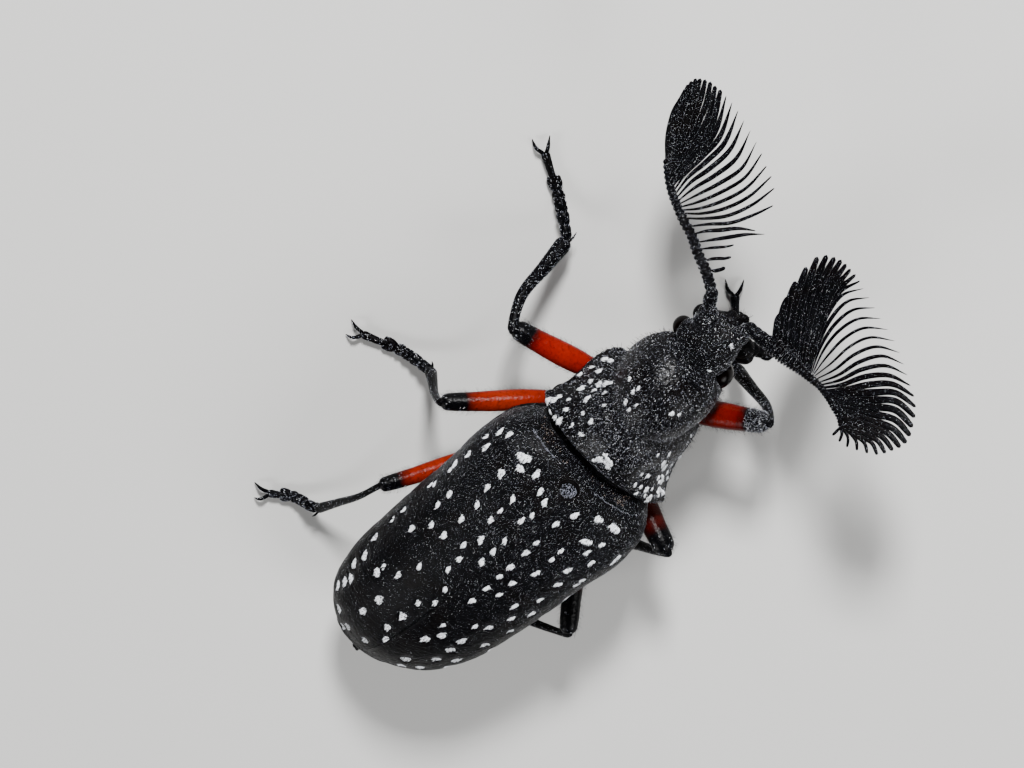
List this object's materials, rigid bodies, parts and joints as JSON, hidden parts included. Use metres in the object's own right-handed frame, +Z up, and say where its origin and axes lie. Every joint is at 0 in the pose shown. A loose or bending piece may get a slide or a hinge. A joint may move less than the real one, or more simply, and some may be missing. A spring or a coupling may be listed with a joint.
{
  "type": "feather-horned beetle model",
  "caption": "Still life-size model of a male feather-horned beetle with fan feelers, red thighs and pale-spotted black wing cases.",
  "frame": {"origin": "middle of the bounding box's underside, on the floor that the six feet stand on", "axes": "+Z up, -Y towards the head, +X towards the beetle's left side"},
  "size_m": [0.0164, 0.0296, 0.0084],
  "materials": {
    "cuticle_black": "matte black horn with fine pits and short pale hairs",
    "femur_red": "glossy orange-red horn with fine hairs and a black far end",
    "eye_brown": "polished dark brown with fine facets",
    "feeler_black": "satin black with fine short hairs",
    "pale_hair": "pale bluish-grey felt of short hairs"
  },
  "bodies": {
    "root": {"abdomen": "cuticle_black", "antenna_left_fan": "feeler_black", "antenna_left_scape": "feeler_black", "antenna_right_fan": "feeler_black", "antenna_right_scape": "feeler_black", "elytron_left": "cuticle_black", "elytron_right": "cuticle_black", "eye_left": "eye_brown", "eye_right": "eye_brown", "head": "cuticle_black", "leg_front_left_femur": "femur_red", "leg_front_left_tarsus": "cuticle_black", "leg_front_left_tibia": "cuticle_black", "leg_front_right_femur": "femur_red", "leg_front_right_tarsus": "cuticle_black", "leg_front_right_tibia": "cuticle_black", "leg_hind_left_femur": "femur_red", "leg_hind_left_tarsus": "cuticle_black", "leg_hind_left_tibia": "cuticle_black", "leg_hind_right_femur": "femur_red", "leg_hind_right_tarsus": "cuticle_black", "leg_hind_right_tibia": "cuticle_black", "leg_middle_left_femur": "femur_red", "leg_middle_left_tarsus": "cuticle_black", "leg_middle_left_tibia": "cuticle_black", "leg_middle_right_femur": "femur_red", "leg_middle_right_tarsus": "cuticle_black", "leg_middle_right_tibia": "cuticle_black", "mandible_left": "cuticle_black", "mandible_right": "cuticle_black", "palp_left": "cuticle_black", "palp_right": "cuticle_black", "pronotum": "cuticle_black", "scutellum": "pale_hair", "thorax": "cuticle_black"}
  },
  "joints": []
}
